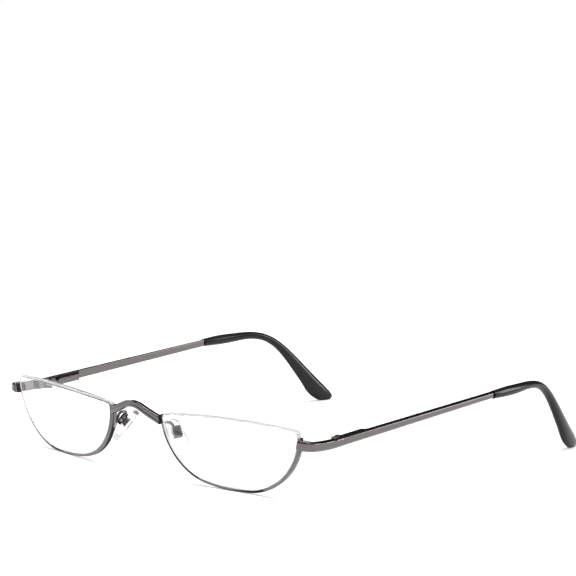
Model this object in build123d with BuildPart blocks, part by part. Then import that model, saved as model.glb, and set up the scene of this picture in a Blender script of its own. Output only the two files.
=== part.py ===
from build123d import *
import os
from math import asin, atan2, cos, degrees, hypot, radians, sin, sqrt, tan

# Half eye reading glasses, in millimetres.
# X is the width, with the wearer's left on +X. The front faces -Y, the temples run to +Y.
# Z is up from the table, on which the rims and the temple tips stand.
# Every piece is modelled on the wearer's left, and mirrored for the right.

os.makedirs("parts", exist_ok=True)

# Lens outline, seen square to the lens
lens_half_width = 25.0
lens_depth = 20.1
lens_low_shift = 2.3
lens_bottom_radius = 67.5
lens_nasal_radius = 19.1
lens_temporal_radius = 19.8
lens_top_bow = 1.7
lens_corner_radius = 1.5

# Lens body
lens_front_radius = 125.0
lens_back_radius = 165.0
lens_thickness = 2.6
groove_depth = 0.4
groove_width = 0.6

# Lens stance
lens_gap = 23.4
lens_setback = 22.1
lens_wrap = 8.1
lens_tilt = 8.0
lens_roll = 1.3

# Rim
rim_width = 1.0
rim_depth = 1.5
rim_proud = -0.24
rim_seat_gap = 0.03
rim_channel_depth = 0.35
rim_nasal_drop = 0.5
rim_round = 0.22

# Lens cord and rim liner
cord_width = 0.5
cord_proud = 0.2
cord_seat_gap = 0.02
cord_loop_radius = 0.22
cord_hole_gap = 0.07
cord_loop_bulge = 0.45
cord_hole_pitch = 1.9
cord_hole_margin = 0.8
loop_corner_share = 0.45
cord_end_share = 1.2
liner_end_share = 1.4

# Bridge
bridge_rise = 2.5
bridge_bar_height = 2.0
bridge_depth = 1.8
bridge_crown_radius = 9.5
bridge_top_slope = 22.5
bridge_under_slope = 24.0
bridge_bow = 1.6
bridge_setback = 25.1
bridge_ridge_gap = 0.5
bridge_ridge_depth = 0.3
bridge_round = 0.3

# Temple bar
hinge_reach = 4.2
temple_toe_in = 0.8
temple_rise = 5.26
bar_run = 70.3
bar_thickness = 1.4
bar_height = 2.8
bar_end_height = 2.1
bar_bevel = 0.5
bar_round = 0.2
bar_seat_depth = 2.0
bar_seat_step = 0.12
bar_shoulder_gap = 0.1
seam_gap = 0.05
seam_height = 17.6

# Endpiece
endpiece_inset = 1.28
endpiece_corner_radius = 4.3
endpiece_front_height = 2.9
endpiece_front_drop = -0.1
endpiece_middle_height = 3.0
endpiece_middle_drop = 0.5

# Hinge knuckles and screw
knuckle_radius = 1.15
knuckle_height = 1.0
eye_height = 0.9
knuckle_gap = 0.05
knuckle_bar_gap = 0.08
knuckle_lift = -0.1
leaf_length = 3.4
screw_radius = 0.5
screw_running_gap = 0.03
screw_head_radius = 0.8
screw_head_height = 0.4
screw_slot_width = 0.25
screw_slot_depth = 0.25

# Spring housing and what slides in it
stem_radius = 0.42
stem_running_gap = 0.04
stem_length = 7.2
neck_width = 0.9
neck_height = 0.65
neck_gap = 0.15
spring_wire = 0.24
spring_stem_gap = 0.12
spring_bore_gap = 0.12
spring_turns = 9
spring_end_gap = 0.02
stop_thickness = 0.6
stop_bore_gap = 0.08
bush_length = 1.0
housing_start = 2.0
housing_length = 10.9
housing_wall = 0.25
housing_height = 2.2
housing_bore_length = 8.6
housing_round = 0.35
housing_tail = 2.2

# Temple tip, as runs along its middle line
tip_straight = 19.0
tip_straight_slope = 2.7
tip_bend_radius = 22.5
tip_drop_slope = 46.0
tip_drop_length = 26.4
tip_plan_radius = 146.0
tip_plan_run = 30.0
tip_height = 6.2
tip_thickness = 3.0
core_radius = 0.55
core_length = 50.0
core_run_shares = [0.0, 0.1, 0.25, 0.38, 0.5, 0.62, 0.75, 0.87, 1.0]
# run along the tip, height, thickness and lift off the middle line, each a share of the tip's own
tip_station_shares = [
    (0.000, 0.42, 0.80, 0.000),
    (0.030, 0.45, 0.90, 0.000),
    (0.124, 0.52, 1.00, 0.000),
    (0.217, 0.48, 0.97, 0.000),
    (0.294, 0.42, 0.92, 0.000),
    (0.434, 0.40, 0.88, 0.000),
    (0.590, 0.53, 0.88, -0.016),
    (0.713, 0.71, 0.90, 0.000),
    (0.805, 0.86, 0.92, -0.016),
    (0.868, 0.98, 0.92, -0.024),
    (0.921, 0.93, 0.86, 0.048),
    (0.958, 0.79, 0.74, 0.137),
    (0.984, 0.55, 0.55, 0.258),
    (1.000, 0.26, 0.30, 0.339),
]

# Nose pad, its box and its arm
pad_half_spacing = 11.8
pad_setback = 15.35
pad_height = 12.8
pad_flare = 36.5
pad_rake = 10.6
pad_turn = 28.3
pad_length = 11.8
pad_low_radius = 3.4
pad_top_radius = 2.2
pad_thickness = 2.0
pad_round = 0.8
pad_lug_lift = 0.9
insert_depth = 0.6
insert_thickness = 0.4
insert_margin = 0.25
box_width = 2.6
box_length = 3.3
box_depth = 1.6
box_wall = 0.4
box_pad_gap = 0.35
lug_gap = 0.2
lug_side_gap = 0.1
lug_end_gap = 0.15
pad_screw_radius = 0.4
pad_screw_gap = 0.03
pad_screw_head_radius = 0.65
pad_screw_head_height = 0.4
arm_radius = 0.45
arm_bend_radius = 1.25
arm_rim_angle = 28.0
arm_rise = 6.6
arm_inset = 2.8
arm_lean = 0.0
arm_drop = 1.5
arm_seat_depth = 0.12
arm_seat_offset = 0.75

# One overrun serves every cut
overrun = 3.0

# Sizes that follow from those above
lens_turn = radians(lens_wrap)
hinge_half_span = lens_gap / 2 + 2 * lens_half_width * cos(lens_turn) + hinge_reach
endpiece_run = lens_setback - lens_half_width * sin(lens_turn) - endpiece_corner_radius - endpiece_inset
pin_offset = bar_thickness + knuckle_bar_gap + knuckle_radius
bar_offset = pin_offset - bar_thickness / 2
hinge_height = 2 * knuckle_height + eye_height + 2 * knuckle_gap
hinge_middle = seam_height + knuckle_lift
hinge_low = hinge_middle - hinge_height / 2
spring_radius = stem_radius + spring_stem_gap + spring_wire / 2
bore_radius = spring_radius + spring_wire / 2 + spring_bore_gap
tip_length = tip_straight + tip_drop_length + tip_bend_radius * radians(tip_straight_slope + tip_drop_slope)


def polar(centre, radius, angle):
    """Point at an angle, in degrees, on a circle."""
    return (centre[0] + radius * cos(radians(angle)), centre[1] + radius * sin(radians(angle)))


def tip_profile(run):
    """Forward reach, height and slope of the tip's middle line after a run along it."""
    start, end = radians(tip_straight_slope), radians(tip_drop_slope)
    if run <= tip_straight:
        return run * cos(start), run * sin(start), start
    reach, height = tip_straight * cos(start), tip_straight * sin(start)
    turn = min((run - tip_straight) / tip_bend_radius, start + end)
    slope = start - turn
    reach += tip_bend_radius * (sin(start) - sin(slope))
    height += tip_bend_radius * (cos(slope) - cos(start))
    drop = max(run - tip_straight - tip_bend_radius * (start + end), 0)
    return reach + drop * cos(slope), height + drop * sin(slope), slope


def tip_plan(reach):
    """Inward and rearward distance from the tip's start, and the way it points, in radians."""
    start = radians(temple_toe_in)
    way = start + min(reach, tip_plan_run) / tip_plan_radius
    straight = max(reach - tip_plan_run, 0)
    inward = tip_plan_radius * (cos(start) - cos(way)) + straight * sin(way)
    return inward, tip_plan_radius * (sin(way) - sin(start)) + straight * cos(way), way


def tip_rear(row):
    """Rearward distance of a tip station's rear side from the tip's start."""
    run, height, thickness, lift = row
    reach, rise, slope = tip_profile(tip_length * run)
    inward, back, way = tip_plan(reach)
    return back - cos(way) * sin(slope) * tip_height * (lift + height / 2)


# The hinge seam is placed so that the origin is midway between the bridge and the tips
bar_reach = bar_run * cos(radians(temple_rise)) * cos(radians(temple_toe_in))
rear_reach = bar_reach + max(tip_rear(row) for row in tip_station_shares)
seam_y = (bridge_setback - rear_reach) / 2
heading = Vector(-sin(radians(temple_toe_in)), cos(radians(temple_toe_in)), 0)
outward = Vector(cos(radians(temple_toe_in)), sin(radians(temple_toe_in)), 0)
pin = Vector(hinge_half_span, seam_y, 0) - outward * pin_offset

# Hinge planes: plan is level at the table, temple looks back along the bar from the pin
hinge_plan = Plane(origin=pin, x_dir=outward, z_dir=(0, 0, 1))
bar_way = heading * cos(radians(temple_rise)) + Vector(0, 0, sin(radians(temple_rise)))
side_plane = Plane(origin=pin, x_dir=heading, z_dir=outward)
temple_plane = Plane(origin=pin + Vector(0, 0, seam_height), x_dir=-outward, z_dir=bar_way)
slide_plane = Plane(origin=pin + Vector(0, 0, hinge_middle), x_dir=-outward, z_dir=bar_way)
seam_plane = Plane(origin=pin + heading * seam_gap, z_dir=heading)

# Lens plane: local x points to the temple, local y up and local z to the front
wrap, tilt, roll = radians(lens_wrap), radians(lens_tilt), radians(lens_roll)
lens_across = Vector(cos(wrap), sin(wrap), 0)
lens_up = Vector(sin(tilt) * sin(wrap), -sin(tilt) * cos(wrap), cos(tilt))
lens_front = Vector(cos(tilt) * sin(wrap), -cos(tilt) * cos(wrap), -sin(tilt))
rim_outer = rim_seat_gap + rim_width
bottom_centre = (lens_low_shift, lens_bottom_radius - lens_depth)
low_point = lens_low_shift * sin(roll) + bottom_centre[1] * cos(roll) - lens_bottom_radius - rim_outer
low_sag = (lens_depth + rim_outer) ** 2 / (2 * lens_front_radius) - rim_proud
lens_z = -low_point * cos(tilt) - low_sag * sin(tilt)
lens_plane = Plane(
    origin=(lens_gap / 2 + lens_half_width * cos(wrap), seam_y - lens_setback, lens_z),
    x_dir=lens_across * cos(roll) + lens_up * sin(roll),
    z_dir=lens_front,
)

# Circles of the lens outline: the side circles run tangent into the bottom one
nasal_reach = lens_bottom_radius - lens_nasal_radius
temporal_reach = lens_bottom_radius - lens_temporal_radius
nasal_x = lens_nasal_radius - lens_half_width
temporal_x = lens_half_width - lens_temporal_radius
nasal_centre = (nasal_x, bottom_centre[1] - sqrt(nasal_reach**2 - (nasal_x - lens_low_shift) ** 2))
temporal_centre = (
    temporal_x,
    bottom_centre[1] - sqrt(temporal_reach**2 - (temporal_x - lens_low_shift) ** 2),
)
top_radius = (lens_half_width**2 + lens_top_bow**2) / (2 * lens_top_bow)
top_centre = (0, lens_top_bow - top_radius)


def top_corner(centre, radius, side, grow):
    """Where a side circle crosses the top one, on the nasal (-1) or temporal (1) side."""
    dx, dy = top_centre[0] - centre[0], top_centre[1] - centre[1]
    apart = hypot(dx, dy)
    along = (apart**2 + radius**2 - (top_radius + grow) ** 2) / (2 * apart)
    off = sqrt(radius**2 - along**2)
    across, up = (along * dx - side * off * dy) / apart, (along * dy + side * off * dx) / apart
    return (centre[0] + across, centre[1] + up)


def angle_of(centre, point):
    """Direction of a point from a centre, in degrees."""
    return degrees(atan2(point[1] - centre[1], point[0] - centre[0]))


def arc_between(centre, start, end):
    """Short arc about a centre, from one point to another."""
    radius = hypot(start[0] - centre[0], start[1] - centre[1])
    middle = Vector(*start) + Vector(*end) - 2 * Vector(*centre)
    return ThreePointArc(start, Vector(*centre) + middle.normalized() * radius, end)


def lens_outline(grow=0, corner=0):
    """Lens shape, grown all round, as a face of the sketch."""
    nasal = top_corner(nasal_centre, lens_nasal_radius + grow, -1, grow)
    temporal = top_corner(temporal_centre, lens_temporal_radius + grow, 1, grow)
    low_nasal = polar(bottom_centre, lens_bottom_radius + grow, angle_of(bottom_centre, nasal_centre))
    low_temporal = polar(bottom_centre, lens_bottom_radius + grow, angle_of(bottom_centre, temporal_centre))
    with BuildSketch(mode=Mode.PRIVATE) as shape:
        with BuildLine():
            arc_between(nasal_centre, nasal, low_nasal)
            arc_between(bottom_centre, low_nasal, low_temporal)
            arc_between(temporal_centre, low_temporal, temporal)
            arc_between(top_centre, temporal, nasal)
        make_face()
        if corner > 0:
            fillet(shape.vertices().sort_by(Axis.Y)[-2:], corner)
    return shape.sketch


def lens_shell(front, depth):
    """Keep what lies between the lens's front sphere, moved out by front, and a depth behind it."""
    with Locations(lens_plane.offset(-lens_front_radius)):
        Sphere(lens_front_radius + front, rotation=(90, 0, 0), mode=Mode.INTERSECT)
        Sphere(lens_front_radius + front - depth, rotation=(90, 0, 0), mode=Mode.SUBTRACT)


def save_pair(piece, name):
    """Write the wearer's left piece and its mirror image, the right one."""
    with BuildPart() as twin:
        mirror(piece.part, about=Plane.YZ)
    for part, side in ((piece.part, "left"), (twin.part, "right")):
        part.label = f"{name}_{side}"
        export_step(part, f"parts/{part.label}.step")


def radial_point(centre, radius, angle, side):
    """Point of the lens plane at an angle below the level, on the nasal (-1) or temporal (1) side."""
    return (centre[0] + side * radius * cos(radians(angle)), centre[1] - radius * sin(radians(angle)))


# Lens, with the groove for the cord and the liner round its edge
with BuildPart() as lens:
    with BuildSketch(lens_plane.offset(-lens_half_width)):
        add(lens_outline(corner=lens_corner_radius))
    extrude(amount=2 * lens_half_width)
    with Locations(lens_plane.offset(-lens_front_radius)):
        Sphere(lens_front_radius, rotation=(90, 0, 0), mode=Mode.INTERSECT)
    with Locations(lens_plane.offset(-lens_thickness - lens_back_radius)):
        Sphere(lens_back_radius, rotation=(90, 0, 0), mode=Mode.SUBTRACT)
groove_front = -(lens_thickness - lens_half_width**2 * (1 / lens_front_radius - 1 / lens_back_radius) / 2) / 2
with BuildPart() as lens_groove:
    with BuildSketch(lens_plane.offset(-lens_half_width)):
        add(lens_outline(grow=overrun))
        add(lens_outline(grow=-groove_depth, corner=lens_corner_radius), mode=Mode.SUBTRACT)
    extrude(amount=2 * lens_half_width)
    lens_shell(groove_front + groove_width / 2, groove_width)
with BuildPart() as grooved_lens:
    add(lens.part)
    add(lens_groove.part, mode=Mode.SUBTRACT)
save_pair(grooved_lens, "lens")

# Bridge: an arch seen from the front, bowed forward seen from above
bridge_top = lens_z + bridge_rise
bridge_half_span = lens_gap / 2 - rim_outer
bridge_bow_radius = (bridge_half_span**2 + bridge_bow**2) / (2 * bridge_bow)
bridge_front = seam_y - bridge_setback


def arch_side(radius, slope):
    """Crown point, tangent point and foot of an arch line concentric with the crown."""
    centre_height = bridge_top - bridge_crown_radius
    across, up = radius * sin(radians(slope)), centre_height + radius * cos(radians(slope))
    reach = bridge_half_span + overrun
    return (0, centre_height + radius), (across, up), (reach, up - (reach - across) * tan(radians(slope)))


# Where the cord's holes lie on the rim, as angles below the level on each side circle
hole_radius = cord_loop_radius + cord_hole_gap
rim_middle = rim_seat_gap + rim_width / 2
temporal_lift = lens_half_width * sin(roll)
lug_under = endpiece_front_height / 2 + endpiece_front_drop - seam_height + lens_z + temporal_lift
temporal_hole_fall = lug_under + cord_hole_margin
bridge_under = arch_side(bridge_crown_radius - bridge_bar_height, bridge_under_slope)[-1][1]
nasal_hole_fall = lens_z - bridge_under + cord_hole_margin


def hole_angles(centre, radius, fall):
    """The two hole angles below the level, for the upper hole's fall under the lens's top line."""
    reach = radius + rim_middle
    upper = degrees(asin(min((fall + hole_radius + centre[1]) / reach, 1)))
    return upper, upper + degrees(cord_hole_pitch / reach)


hole_sides = [
    (nasal_centre, lens_nasal_radius, hole_angles(nasal_centre, lens_nasal_radius, nasal_hole_fall), -1),
    (
        temporal_centre,
        lens_temporal_radius,
        hole_angles(temporal_centre, lens_temporal_radius, temporal_hole_fall),
        1,
    ),
]


def cord_loop(place, tube_radius):
    """One short loop of the cord, out through a side's upper hole and in through its lower one."""
    centre, radius, angles, side = place
    outer = radius + rim_outer + cord_loop_bulge
    route = [
        radial_point(centre, radius, angles[0], side),
        radial_point(centre, outer, angles[0], side),
        radial_point(centre, outer, angles[1], side),
        radial_point(centre, radius, angles[1], side),
    ]
    sag = Vector(*route[1]).length ** 2 / (2 * lens_front_radius)
    with BuildPart() as loop:
        with BuildLine(lens_plane.offset(groove_front - sag)) as path:
            FilletPolyline(*route, radius=cord_hole_pitch * loop_corner_share)
        with BuildSketch(Plane(origin=path.line @ 0, z_dir=path.line % 0)):
            Circle(tube_radius)
        sweep()
    return loop.part


def above_cut(share):
    """Sketch face over the lens, above a line a share of the way from each upper hole to its lower one."""
    ends = []
    for centre, radius, angles, side in hole_sides:
        angle = angles[0] + (angles[1] - angles[0]) * share
        ends.append(radial_point(centre, radius, angle, side))
    slope = (ends[1][1] - ends[0][1]) / (ends[1][0] - ends[0][0])
    reach = 2 * lens_half_width
    left = ends[0][1] + slope * (-reach - ends[0][0])
    right = ends[0][1] + slope * (reach - ends[0][0])
    with BuildSketch(mode=Mode.PRIVATE) as region:
        with BuildLine():
            Polyline((-reach, left), (reach, right), (reach, reach), (-reach, reach), close=True)
        make_face()
    return region.sketch


# Cord over the lens's top edge, with its loops through the rim
with BuildPart() as lens_cord:
    with BuildSketch(lens_plane.offset(-lens_half_width)):
        add(lens_outline(grow=cord_proud, corner=lens_corner_radius))
        add(lens_outline(grow=cord_seat_gap - groove_depth, corner=lens_corner_radius), mode=Mode.SUBTRACT)
        add(above_cut(cord_end_share), mode=Mode.INTERSECT)
    extrude(amount=2 * lens_half_width)
    lens_shell(groove_front + cord_width / 2, cord_width)
    for place in hole_sides:
        add(cord_loop(place, cord_loop_radius))
save_pair(lens_cord, "lens_cord")

# Rim liner, from below one pair of holes to below the other
with BuildPart() as rim_liner:
    with BuildSketch(lens_plane.offset(-lens_half_width)):
        add(lens_outline(grow=rim_seat_gap + rim_channel_depth - cord_seat_gap))
        add(lens_outline(grow=cord_seat_gap - groove_depth), mode=Mode.SUBTRACT)
        add(above_cut(liner_end_share), mode=Mode.SUBTRACT)
    extrude(amount=2 * lens_half_width)
    lens_shell(groove_front + cord_width / 2, cord_width)
save_pair(rim_liner, "rim_liner")

# Rim: its nasal end runs up beside the bridge, its temporal end stops at the endpiece
rim_temporal_drop = lug_under - endpiece_front_height + rim_depth * sin(tilt)
with BuildPart() as rim_channel:
    with BuildSketch(lens_plane.offset(-lens_half_width)):
        add(lens_outline(grow=rim_seat_gap + rim_channel_depth))
        add(lens_outline(grow=-overrun), mode=Mode.SUBTRACT)
    extrude(amount=2 * lens_half_width)
    lens_shell(groove_front + groove_width / 2, groove_width)
with BuildPart() as rim:
    with BuildSketch(lens_plane.offset(-lens_half_width)):
        add(lens_outline(grow=rim_outer))
        add(lens_outline(grow=rim_seat_gap), mode=Mode.SUBTRACT)
        with BuildLine():
            Polyline(
                (-lens_half_width - overrun, -rim_nasal_drop),
                (0, -rim_nasal_drop),
                (0, -rim_temporal_drop),
                (lens_half_width + overrun, -rim_temporal_drop),
                (lens_half_width + overrun, lens_half_width),
                (-lens_half_width - overrun, lens_half_width),
                close=True,
            )
        make_face(mode=Mode.SUBTRACT)
    extrude(amount=2 * lens_half_width)
    lens_shell(rim_proud, rim_depth)
    fillet(rim.edges().filter_by(lambda edge: edge.length > 2 * rim_depth), rim_round)
    add(rim_channel.part, mode=Mode.SUBTRACT)
    for place in hole_sides:
        add(cord_loop(place, hole_radius), mode=Mode.SUBTRACT)
save_pair(rim, "rim")


def arch_band(outer_radius, outer_slope, inner_radius, inner_slope):
    """Upright sketch face between two arch lines that run from rim to rim."""
    crown, tangent, foot = arch_side(outer_radius, outer_slope)
    under, under_tangent, under_foot = arch_side(inner_radius, inner_slope)

    def other(point):
        return (-point[0], point[1])

    with BuildSketch(mode=Mode.PRIVATE) as band:
        with BuildLine():
            Line(other(foot), other(tangent))
            ThreePointArc(other(tangent), crown, tangent)
            Line(tangent, foot)
            Line(foot, under_foot)
            Line(under_foot, under_tangent)
            ThreePointArc(under_tangent, under, other(under_tangent))
            Line(other(under_tangent), other(under_foot))
            Line(other(under_foot), other(foot))
        make_face()
    return band.sketch


def bowed_arch(face, depth):
    """Solid of an arch face in the bridge's upright cylinder, a depth deep from its front."""
    with BuildPart() as arch:
        with BuildSketch(Plane.XZ.offset(-bridge_front - bridge_bow_radius)):
            add(face)
        extrude(amount=2 * bridge_bow_radius)
        with Locations((0, bridge_front + bridge_bow_radius, bridge_top)):
            Cylinder(bridge_bow_radius, 2 * bridge_bow_radius, mode=Mode.INTERSECT)
            Cylinder(bridge_bow_radius - depth, 2 * bridge_bow_radius, mode=Mode.SUBTRACT)
    return arch.part


with BuildPart() as rim_envelope:
    with BuildSketch(lens_plane.offset(-lens_half_width)):
        add(lens_outline(grow=rim_outer))
    extrude(amount=2 * lens_half_width)
bridge_face = arch_band(
    bridge_crown_radius, bridge_top_slope, bridge_crown_radius - bridge_bar_height, bridge_under_slope
)
ridge_radius = bridge_crown_radius - bridge_bar_height / 2
ridge_top_radius = ridge_radius + bridge_ridge_gap / 2
ridge_face = arch_band(
    ridge_top_radius, bridge_top_slope, ridge_top_radius - bridge_ridge_gap, bridge_under_slope
)
with BuildPart() as bridge:
    add(bowed_arch(bridge_face, bridge_depth))
    fillet(bridge.edges().filter_by(lambda edge: edge.length > 2 * bridge_depth), bridge_round)
    add(bowed_arch(ridge_face, bridge_ridge_depth), mode=Mode.SUBTRACT)
    add(rim_envelope.part, mode=Mode.SUBTRACT)
    add(mirror(rim_envelope.part, about=Plane.YZ, mode=Mode.PRIVATE), mode=Mode.SUBTRACT)
bridge.part.label = "bridge"
export_step(bridge.part, "parts/bridge.step")

# Endpiece: a lug on the rim that turns back and runs level to the hinge seam
bar_inner = pin_offset - bar_thickness
corner_middle = (pin_offset - endpiece_corner_radius, -endpiece_run)
endpiece_end = -endpiece_run - endpiece_corner_radius


def outer_side(edge):
    """Whether an edge of the endpiece runs along its outer side."""
    place = hinge_plan.to_local_coords(edge @ 0.5)
    reach = hypot(max(place.X - corner_middle[0], 0), min(place.Y - corner_middle[1], 0))
    return reach > endpiece_corner_radius - bar_thickness / 2


with BuildPart() as endpiece:
    with BuildSketch(hinge_plan):
        with Locations((pin_offset - bar_thickness / 2, -endpiece_run / 2)):
            Rectangle(bar_thickness, endpiece_run)
        with BuildLine():
            Line(corner_middle, (pin_offset, -endpiece_run))
            RadiusArc((pin_offset, -endpiece_run), (corner_middle[0], endpiece_end), endpiece_corner_radius)
            Line((corner_middle[0], endpiece_end), corner_middle)
        make_face()
    extrude(amount=2 * seam_height)
    with BuildSketch(side_plane):
        front_middle = seam_height - endpiece_front_drop
        middle = seam_height - endpiece_middle_drop
        with BuildLine():
            ThreePointArc(
                (0, seam_height + bar_height / 2),
                (endpiece_end / 2, middle + endpiece_middle_height / 2),
                (endpiece_end, front_middle + endpiece_front_height / 2),
            )
            Line(
                (endpiece_end, front_middle + endpiece_front_height / 2),
                (endpiece_end, front_middle - endpiece_front_height / 2),
            )
            ThreePointArc(
                (endpiece_end, front_middle - endpiece_front_height / 2),
                (endpiece_end / 2, middle - endpiece_middle_height / 2),
                (0, seam_height - bar_height / 2),
            )
            Line((0, seam_height - bar_height / 2), (0, seam_height + bar_height / 2))
        make_face()
    extrude(amount=endpiece_corner_radius + pin_offset, both=True, mode=Mode.INTERSECT)
    long_edges = endpiece.edges().filter_by(lambda edge: edge.length > endpiece_corner_radius)
    chamfer(long_edges.filter_by(outer_side), bar_bevel)
    fillet(endpiece.edges().filter_by(lambda edge: edge.length > endpiece_corner_radius), bar_round)
    add(rim_envelope.part, mode=Mode.SUBTRACT)
save_pair(endpiece, "endpiece")

# Hinge leaf: two knuckles with webs, and a foot on the endpiece's inner face
eye_low = hinge_middle - eye_height / 2
knuckle_lows = (hinge_low, eye_low + eye_height + knuckle_gap)
foot_start = -knuckle_radius - knuckle_bar_gap
with BuildPart() as hinge_leaf:
    for low in knuckle_lows:
        with BuildSketch(hinge_plan.offset(low)):
            Circle(knuckle_radius)
            with Locations((bar_inner / 2, -leaf_length / 2)):
                Rectangle(bar_inner, leaf_length)
        extrude(amount=knuckle_height)
    with BuildSketch(hinge_plan.offset(hinge_low)):
        with Locations((bar_inner / 2, (foot_start - leaf_length) / 2)):
            Rectangle(bar_inner, leaf_length + foot_start)
    extrude(amount=hinge_height)
    with BuildSketch(hinge_plan.offset(hinge_low)):
        Circle(screw_radius + screw_running_gap)
    extrude(amount=hinge_height, mode=Mode.SUBTRACT)
    with BuildSketch(hinge_plan.offset(hinge_low + hinge_height)):
        Circle(screw_head_radius + screw_running_gap)
    extrude(amount=-screw_head_height - screw_running_gap, mode=Mode.SUBTRACT)
save_pair(hinge_leaf, "hinge_leaf")

# Hinge screw, with its slotted head let into the upper knuckle
with BuildPart() as hinge_screw:
    with BuildSketch(hinge_plan.offset(hinge_low)):
        Circle(screw_radius)
    extrude(amount=hinge_height)
    with BuildSketch(hinge_plan.offset(hinge_low + hinge_height)):
        Circle(screw_head_radius)
    extrude(amount=-screw_head_height)
    with BuildSketch(hinge_plan.offset(hinge_low + hinge_height)):
        Rectangle(2 * screw_head_radius, screw_slot_width)
    extrude(amount=-screw_slot_depth, mode=Mode.SUBTRACT)
save_pair(hinge_screw, "hinge_screw")

# Hinge slider: the eye between the knuckles, its neck and the stem that the spring holds
stem_start = housing_start - neck_gap
stop_end = stem_start + stem_length
with BuildPart() as hinge_slider:
    with BuildSketch(hinge_plan.offset(eye_low)):
        Circle(knuckle_radius)
    extrude(amount=eye_height)
    with BuildSketch(slide_plane.offset(knuckle_radius / 2)):
        Rectangle(neck_width, neck_height)
    extrude(amount=stem_start - knuckle_radius / 2)
    with BuildSketch(slide_plane.offset(stem_start)):
        Circle(stem_radius)
    extrude(amount=stem_length)
    with BuildSketch(hinge_plan.offset(hinge_low)):
        Circle(screw_radius + screw_running_gap)
    extrude(amount=hinge_height, mode=Mode.SUBTRACT)
save_pair(hinge_slider, "hinge_slider")

# Slider stop at the stem's end, and the bush that guides the stem in the housing's mouth
with BuildPart() as slider_stop:
    with BuildSketch(slide_plane.offset(stop_end - stop_thickness)):
        Circle(bore_radius - stop_bore_gap)
        Circle(stem_radius, mode=Mode.SUBTRACT)
    extrude(amount=stop_thickness)
save_pair(slider_stop, "slider_stop")
with BuildPart() as slider_bush:
    with BuildSketch(slide_plane.offset(housing_start)):
        Circle(bore_radius)
        Circle(stem_radius + stem_running_gap, mode=Mode.SUBTRACT)
    extrude(amount=bush_length)
save_pair(slider_bush, "slider_bush")

# Hinge spring, wound round the stem between the bush and the stop
spring_start = housing_start + bush_length + spring_end_gap + spring_wire / 2
spring_length = stop_end - stop_thickness - spring_end_gap - spring_wire / 2 - spring_start
spring_plane = slide_plane.offset(spring_start)
with BuildPart() as hinge_spring:
    with BuildLine() as coil:
        spring_pitch = spring_length / spring_turns
        Helix(spring_pitch, spring_length, spring_radius, center=spring_plane.origin, direction=bar_way)
    with BuildSketch(Plane(origin=coil.line @ 0, z_dir=coil.line % 0)):
        Circle(spring_wire / 2)
    sweep(is_frenet=True)
save_pair(hinge_spring, "hinge_spring")

# Spring housing, soldered to the bar's inner face
housing_inner = bore_radius + housing_wall
housing_end = housing_start + housing_length
with BuildPart() as spring_housing:
    with BuildSketch(Plane(origin=slide_plane.origin, x_dir=bar_way, z_dir=slide_plane.y_dir)):
        with BuildLine():
            Polyline(
                (housing_start, -bar_inner),
                (housing_start, housing_inner),
                (housing_end - housing_tail, housing_inner),
                (housing_end, -bar_inner),
                close=True,
            )
        make_face()
    extrude(amount=housing_height / 2, both=True)
    inner_face = spring_housing.faces().sort_by(Axis(slide_plane.origin, slide_plane.x_dir))[-1]
    fillet(inner_face.edges().filter_by(lambda edge: edge.length > housing_bore_length / 2), housing_round)
    with BuildSketch(slide_plane.offset(housing_start)):
        Circle(bore_radius)
    extrude(amount=housing_bore_length, mode=Mode.SUBTRACT)
save_pair(spring_housing, "spring_housing")


def tip_plane(run, lift=0):
    """Plane square to the tip's middle line after a run along it, raised by a lift in that plane."""
    reach, rise, slope = tip_profile(run)
    inward, back, yaw = tip_plan(reach)
    junction = temple_plane.from_local_coords((-bar_offset, 0, bar_run))
    level = Vector(-sin(yaw), cos(yaw), 0)
    way = level * cos(slope) + Vector(0, 0, sin(slope))
    upright = Vector(0, 0, cos(slope)) - level * sin(slope)
    place = junction + Vector(-inward, back, rise) + upright * lift
    return Plane(origin=place, x_dir=Vector(-cos(yaw), -sin(yaw), 0), z_dir=way)


# Temple bar, tapered to its shoulder at the tip, with the seat and the core wire inside the tip
bar_origin = temple_plane.from_local_coords((-bar_offset, 0, 0))
bar_end = bar_run - bar_shoulder_gap
with BuildPart() as temple_bar:
    with BuildSketch(Plane(origin=bar_origin, x_dir=bar_way, z_dir=outward)):
        with BuildLine():
            Polyline(
                (-bar_height, -bar_height / 2),
                (0, -bar_height / 2),
                (bar_end, -bar_end_height / 2),
                (bar_end, bar_end_height / 2),
                (0, bar_height / 2),
                (-bar_height, bar_height / 2),
                close=True,
            )
        make_face()
    extrude(amount=bar_thickness / 2, both=True)
    bar_side = temple_bar.faces().sort_by(Axis(bar_origin, outward))[-1]
    chamfer(bar_side.edges().filter_by(lambda edge: edge.length > bar_height), bar_bevel)
    fillet(temple_bar.edges().filter_by(lambda edge: edge.length > bar_run / 2), bar_round)
    split(bisect_by=seam_plane, keep=Keep.TOP)
    with BuildSketch(Plane(origin=bar_origin + bar_way * bar_end, x_dir=outward, z_dir=bar_way)):
        Rectangle(bar_thickness - 2 * bar_seat_step, bar_end_height - 2 * bar_seat_step)
    extrude(amount=bar_shoulder_gap + bar_seat_depth)
    for share in core_run_shares:
        with BuildSketch(tip_plane(core_length * share)):
            Circle(core_radius)
    loft()
save_pair(temple_bar, "temple_bar")

# Temple tip, moulded round the bar's end and the core wire
with BuildPart() as temple_tip:
    for run, height, thickness, lift in tip_station_shares:
        with BuildSketch(tip_plane(tip_length * run, tip_height * lift)):
            Ellipse(tip_thickness * thickness / 2, tip_height * height / 2)
    loft()
    split(bisect_by=Plane.XY, keep=Keep.TOP)
    add(temple_bar.part, mode=Mode.SUBTRACT)
save_pair(temple_tip, "temple_tip")

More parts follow.
